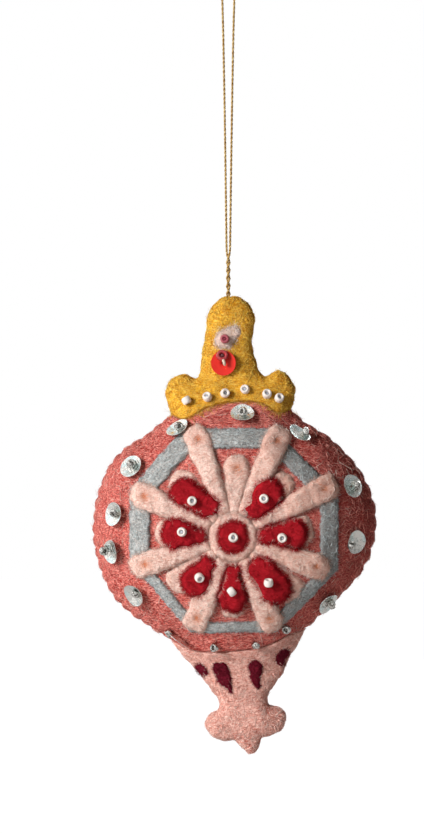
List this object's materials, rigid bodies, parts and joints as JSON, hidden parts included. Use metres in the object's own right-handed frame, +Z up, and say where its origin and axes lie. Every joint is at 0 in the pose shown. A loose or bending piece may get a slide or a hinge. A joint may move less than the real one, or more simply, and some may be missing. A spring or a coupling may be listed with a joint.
{
  "type": "felt christmas ornament",
  "caption": "Stuffed and whip-stitched felt bauble with cap and tail, a felt petal flower, seed beads and cup sequins, on a looped metallic cord.",
  "frame": {"origin": "the point inside the top of the cord's loop that whatever holds the ornament touches", "axes": "+Z up along the cord, the decorated face looks along -Y, +X to the right of someone looking at the face"},
  "size_m": [0.0801, 0.0396, 0.218],
  "materials": {
    "coral_felt": "matte",
    "yellow_felt": "matte",
    "pink_felt": "matte",
    "petal_felt": "matte",
    "grey_felt": "matte",
    "red_wool": "matte",
    "burgundy_wool": "matte",
    "stuffing": "matte",
    "pearl_glass": "satin",
    "silver_glass": "gloss",
    "silver_plastic": "polished",
    "red_plastic": "gloss",
    "gold_thread": "satin"
  },
  "bodies": {
    "loop": {"hanging_loop": "gold_thread"},
    "stem": {"loop_stem": "gold_thread"},
    "ornament": {"front_panel": "coral_felt", "back_panel": "coral_felt", "cap_front": "yellow_felt", "cap_back": "yellow_felt", "tail_front": "pink_felt", "tail_back": "pink_felt", "filling": "stuffing", "octagon_band": "grey_felt", "long_petal_1": "petal_felt", "long_petal_2": "petal_felt", "long_petal_3": "petal_felt", "long_petal_4": "petal_felt", "long_petal_5": "petal_felt", "long_petal_6": "petal_felt", "long_petal_7": "petal_felt", "long_petal_8": "petal_felt", "short_petal_1": "petal_felt", "short_petal_2": "petal_felt", "short_petal_3": "petal_felt", "short_petal_4": "petal_felt", "short_petal_5": "petal_felt", "short_petal_6": "petal_felt", "short_petal_7": "petal_felt", "short_petal_8": "petal_felt", "flower_centre": "petal_felt", "cap_spot": "petal_felt", "petal_heart_1": "red_wool", "petal_heart_2": "red_wool", "petal_heart_3": "red_wool", "petal_heart_4": "red_wool", "petal_heart_5": "red_wool", "petal_heart_6": "red_wool", "petal_heart_7": "red_wool", "cap_bead_1": "pearl_glass", "cap_bead_2": "pearl_glass", "cap_bead_3": "pearl_glass", "cap_bead_4": "pearl_glass", "cap_bead_5": "pearl_glass", "cap_bead_6": "pearl_glass", "cap_sequin": "red_plastic", "sequin_1": "silver_plastic", "sequin_2": "silver_plastic", "sequin_3": "silver_plastic", "sequin_4": "silver_plastic", "sequin_5": "silver_plastic", "sequin_6": "silver_plastic", "sequin_7": "silver_plastic", "sequin_8": "silver_plastic", "sequin_9": "silver_plastic", "sequin_10": "silver_plastic", "sequin_11": "silver_plastic", "crystal_bead_1": "silver_glass", "crystal_bead_2": "silver_glass", "crystal_bead_3": "silver_glass", "tail_drop_1": "burgundy_wool", "tail_drop_2": "burgundy_wool", "tail_drop_3": "burgundy_wool", "tail_drop_4": "burgundy_wool"}
  },
  "joints": [
    {"name": "loop_swing", "type": "hinge", "parent": "loop", "child": "stem", "pos_m": [0, 0, -0.0759], "axis": [0, 1, 0], "range_deg": [-90, 90]},
    {"name": "ornament_spin", "type": "hinge", "parent": "stem", "child": "ornament", "pos_m": [0, 0, -0.08786], "axis": [0, 0, 1], "continuous": true}
  ]
}
